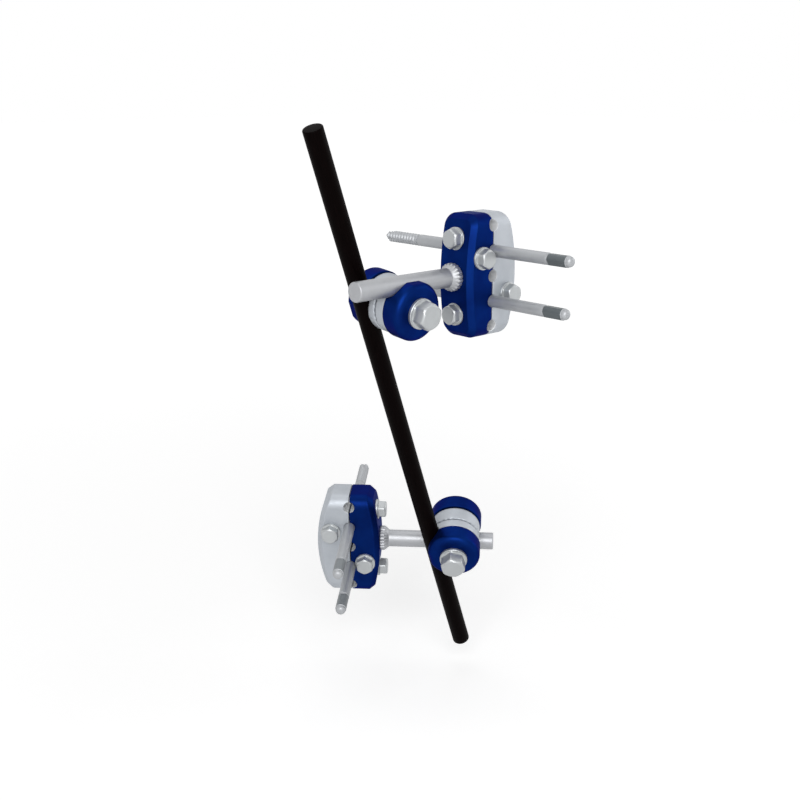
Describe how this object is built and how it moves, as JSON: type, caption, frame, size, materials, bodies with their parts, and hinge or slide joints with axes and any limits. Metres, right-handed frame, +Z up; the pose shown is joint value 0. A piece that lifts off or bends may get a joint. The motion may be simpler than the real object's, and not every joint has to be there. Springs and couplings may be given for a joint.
{
  "type": "external fixator",
  "caption": "External fixator frame: pin clamps on bone pins, each with a turning post, joined by swivel couplings and a straight black rod.",
  "frame": {"origin": "on the axis of the upper clamp's top pin, where its bone thread begins", "axes": "+Y along the upper pins into the bone, +Z up along the upper clamp's length, -X along the upper post away from the clamp"},
  "size_m": [0.1206, 0.1574, 0.253],
  "materials": {
    "blue_anodised": "blue anodised, satin",
    "silver_anodised": "clear anodised, satin",
    "steel": "satin stainless steel",
    "rod_black": "black carbon fibre composite, matt"
  },
  "bodies": {
    "upper_pins": {"upper_pin_top": "steel", "upper_pin_bottom": "steel"},
    "upper_clamp": {"upper_clamp_outer_half": "blue_anodised", "upper_clamp_inner_half": "silver_anodised"},
    "upper_clamp_bolt_top": {"upper_clamp_bolt_top": "steel"},
    "upper_clamp_bolt_bottom": {"upper_clamp_bolt_bottom": "steel"},
    "upper_side_screw_outer": {"upper_side_screw_outer": "steel"},
    "upper_side_screw_inner": {"upper_side_screw_inner": "steel"},
    "upper_post": {"upper_post": "steel"},
    "upper_coupling_front": {"upper_coupling_front_outer_jaw": "blue_anodised", "upper_coupling_front_inner_jaw": "silver_anodised"},
    "upper_coupling_bolt": {"upper_coupling_bolt": "steel"},
    "upper_coupling_rear": {"upper_coupling_rear_inner_jaw": "silver_anodised", "upper_coupling_rear_outer_jaw": "blue_anodised", "upper_coupling_insert": "steel", "upper_coupling_spring": "steel"},
    "main_rod": {"main_rod": "rod_black"},
    "lower_coupling_front": {"lower_coupling_front_outer_jaw": "blue_anodised", "lower_coupling_front_inner_jaw": "silver_anodised"},
    "lower_coupling_bolt": {"lower_coupling_bolt": "steel"},
    "lower_coupling_rear": {"lower_coupling_rear_inner_jaw": "silver_anodised", "lower_coupling_rear_outer_jaw": "blue_anodised", "lower_coupling_insert": "steel", "lower_coupling_spring": "steel"},
    "lower_post": {"lower_post": "steel"},
    "lower_clamp": {"lower_clamp_outer_half": "blue_anodised", "lower_clamp_inner_half": "silver_anodised"},
    "lower_clamp_bolt_top": {"lower_clamp_bolt_top": "steel"},
    "lower_clamp_bolt_bottom": {"lower_clamp_bolt_bottom": "steel"},
    "lower_side_screw_outer": {"lower_side_screw_outer": "steel"},
    "lower_side_screw_inner": {"lower_side_screw_inner": "steel"},
    "lower_pins": {"lower_pin_top": "steel", "lower_pin_bottom": "steel"}
  },
  "joints": [
    {"name": "upper_clamp_slide_on_pins", "type": "slide", "parent": "upper_pins", "child": "upper_clamp", "axis": [0, -1, 0], "range_m": [-0.024, 0.028]},
    {"name": "upper_clamp_bolt_top_turn", "type": "hinge", "parent": "upper_clamp", "child": "upper_clamp_bolt_top", "pos_m": [0, -0.0339, 0.0052], "axis": [-1, 0, 0], "continuous": true},
    {"name": "upper_clamp_bolt_bottom_turn", "type": "hinge", "parent": "upper_clamp", "child": "upper_clamp_bolt_bottom", "pos_m": [0, -0.0339, -0.026], "axis": [-1, 0, 0], "continuous": true},
    {"name": "upper_side_screw_outer_turn", "type": "hinge", "parent": "upper_clamp", "child": "upper_side_screw_outer", "pos_m": [-0.007, -0.0339, -0.0024], "axis": [0, -1, 0], "continuous": true},
    {"name": "upper_side_screw_inner_turn", "type": "hinge", "parent": "upper_clamp", "child": "upper_side_screw_inner", "pos_m": [0.0088, -0.0339, -0.0184], "axis": [0, -1, 0], "continuous": true},
    {"name": "upper_post_turn", "type": "hinge", "parent": "upper_clamp", "child": "upper_post", "pos_m": [0, -0.0339, -0.0104], "axis": [-1, 0, 0], "range_deg": [-90, 90]},
    {"name": "upper_coupling_slide_on_post", "type": "slide", "parent": "upper_post", "child": "upper_coupling_front", "axis": [-1, 0, 0], "range_m": [-0.008, 0.012]},
    {"name": "upper_coupling_bolt_turn", "type": "hinge", "parent": "upper_coupling_front", "child": "upper_coupling_bolt", "pos_m": [-0.0401, -0.0266, -0.01915], "axis": [0, -0.994, -0.1097], "continuous": true},
    {"name": "upper_coupling_swivel", "type": "hinge", "parent": "upper_coupling_front", "child": "upper_coupling_rear", "pos_m": [-0.0401, -0.0266, -0.01915], "axis": [0, -0.994, -0.1097], "range_deg": [-30, 30]},
    {"name": "main_rod_slide", "type": "slide", "parent": "upper_coupling_rear", "child": "main_rod", "axis": [0.4051, 0.1003, -0.9087], "range_m": [-0.04, 0.04]},
    {"name": "lower_coupling_turn_on_rod", "type": "hinge", "parent": "main_rod", "child": "lower_coupling_front", "pos_m": [-0.04879, -0.01991, -0.02229], "axis": [0.4051, 0.1003, -0.9087], "range_deg": [-45, 45]},
    {"name": "lower_coupling_bolt_turn", "type": "hinge", "parent": "lower_coupling_front", "child": "lower_coupling_bolt", "pos_m": [0.01442, -0.01024, -0.13742], "axis": [-0.6889, -0.6199, -0.3756], "continuous": true},
    {"name": "lower_coupling_swivel", "type": "hinge", "parent": "lower_coupling_front", "child": "lower_coupling_rear", "pos_m": [0.01442, -0.01024, -0.13742], "axis": [-0.6889, -0.6199, -0.3756], "range_deg": [-30, 30]},
    {"name": "lower_post_slide", "type": "slide", "parent": "lower_coupling_rear", "child": "lower_post", "axis": [0.6673, -0.7448, 0.0053], "range_m": [-0.008, 0.012]},
    {"name": "lower_clamp_turn_on_post", "type": "hinge", "parent": "lower_post", "child": "lower_clamp", "pos_m": [-0.01145, 0.03273, -0.14411], "axis": [0.6673, -0.7448, 0.0053], "range_deg": [-90, 90]},
    {"name": "lower_clamp_bolt_top_turn", "type": "hinge", "parent": "lower_clamp", "child": "lower_clamp_bolt_top", "pos_m": [-0.0096, 0.03428, -0.15953], "axis": [0.6673, -0.7448, 0.0053], "continuous": true},
    {"name": "lower_clamp_bolt_bottom_turn", "type": "hinge", "parent": "lower_clamp", "child": "lower_clamp_bolt_bottom", "pos_m": [-0.01329, 0.03119, -0.1287], "axis": [0.6673, -0.7448, 0.0053], "continuous": true},
    {"name": "lower_side_screw_outer_turn", "type": "hinge", "parent": "lower_clamp", "child": "lower_side_screw_outer", "pos_m": [-0.00583, 0.02831, -0.15198], "axis": [-0.7354, -0.6599, -0.154], "continuous": true},
    {"name": "lower_side_screw_inner_turn", "type": "hinge", "parent": "lower_clamp", "child": "lower_side_screw_inner", "pos_m": [-0.01827, 0.0385, -0.13626], "axis": [-0.7354, -0.6599, -0.154], "continuous": true},
    {"name": "lower_pins_slide", "type": "slide", "parent": "lower_clamp", "child": "lower_pins", "axis": [-0.7354, -0.6599, -0.154], "range_m": [-0.026, 0.023]}
  ]
}
